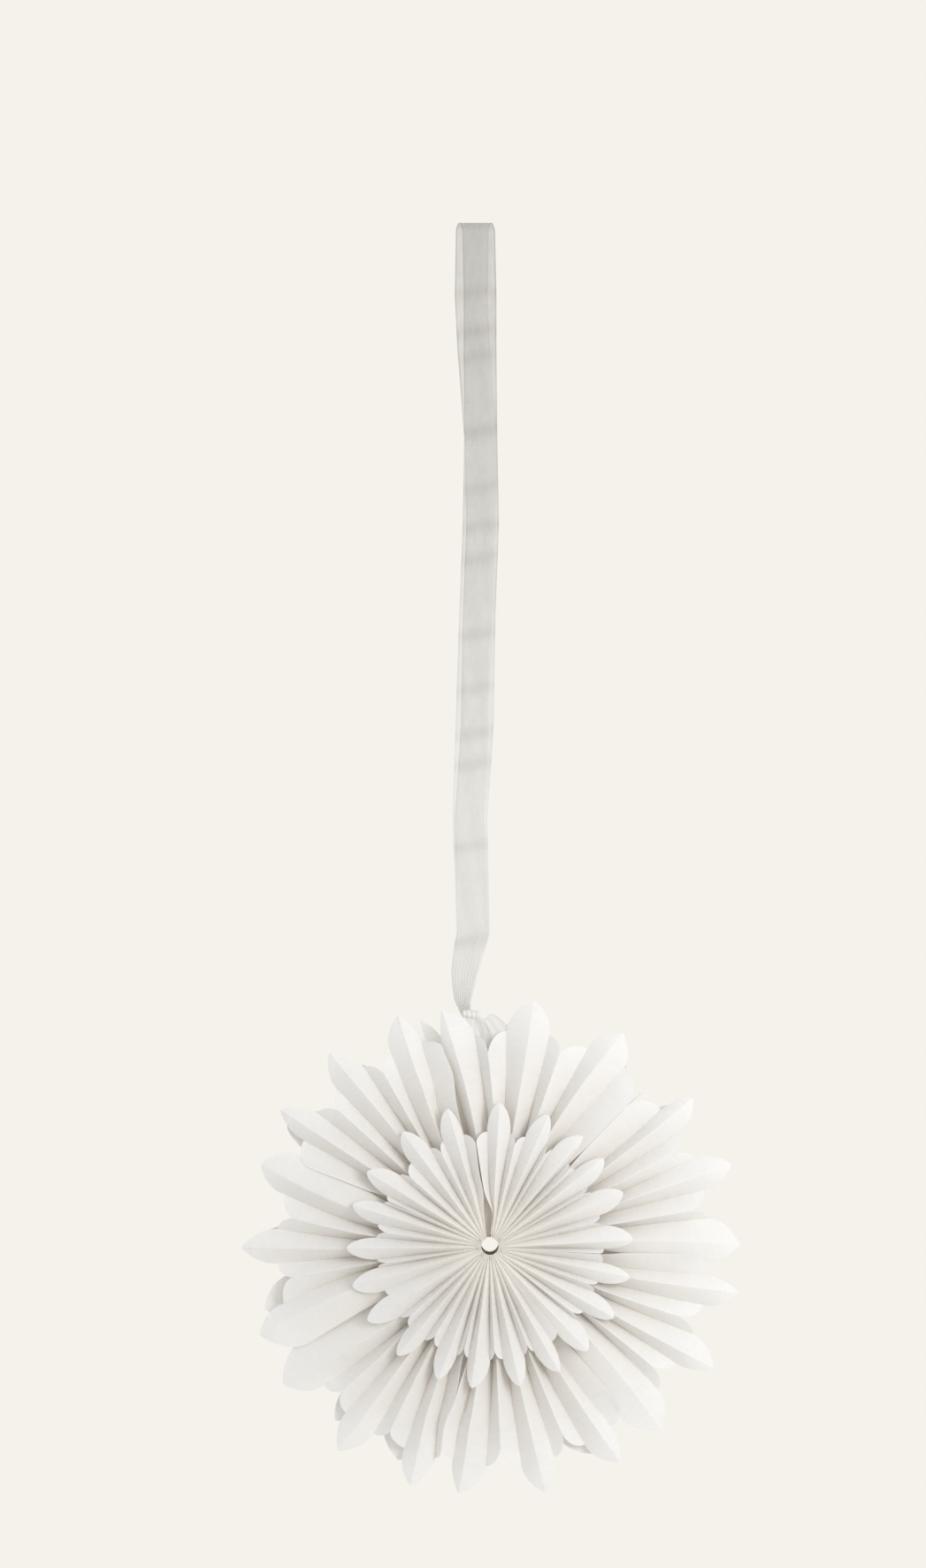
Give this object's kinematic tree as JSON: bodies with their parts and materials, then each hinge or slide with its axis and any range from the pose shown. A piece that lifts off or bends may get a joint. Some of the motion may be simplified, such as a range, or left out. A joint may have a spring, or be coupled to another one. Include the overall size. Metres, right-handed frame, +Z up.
{
  "type": "paper advent star",
  "caption": "Pleated paper star rosette with large and small petals in two tiers on both sides, hung on a long loop of sheer ribbon.",
  "frame": {"origin": "inside top of the ribbon loop, where a hook carries it", "axes": "+Z up along the ribbon, star in the X-Z plane facing -Y, +X to the right seen from the front"},
  "size_m": [0.35, 0.0474, 0.8929],
  "materials": {
    "paper": "matt, slightly textured, lets light through",
    "ribbon": "sheer organza with a faint sheen"
  },
  "bodies": {
    "root": {"ribbon_loop": "ribbon", "ribbon_knot": "ribbon", "ribbon_tails": "ribbon", "large_front_1": "paper", "large_front_2": "paper", "large_front_3": "paper", "large_front_4": "paper", "large_front_5": "paper", "large_front_6": "paper", "large_front_7": "paper", "small_front_1": "paper", "small_front_2": "paper", "small_front_3": "paper", "small_front_4": "paper", "small_front_5": "paper", "small_front_6": "paper", "small_front_7": "paper", "large_back_1": "paper", "large_back_2": "paper", "large_back_3": "paper", "large_back_4": "paper", "large_back_5": "paper", "large_back_6": "paper", "large_back_7": "paper", "small_back_1": "paper", "small_back_2": "paper", "small_back_3": "paper", "small_back_4": "paper", "small_back_5": "paper", "small_back_6": "paper", "small_back_7": "paper"}
  },
  "joints": []
}
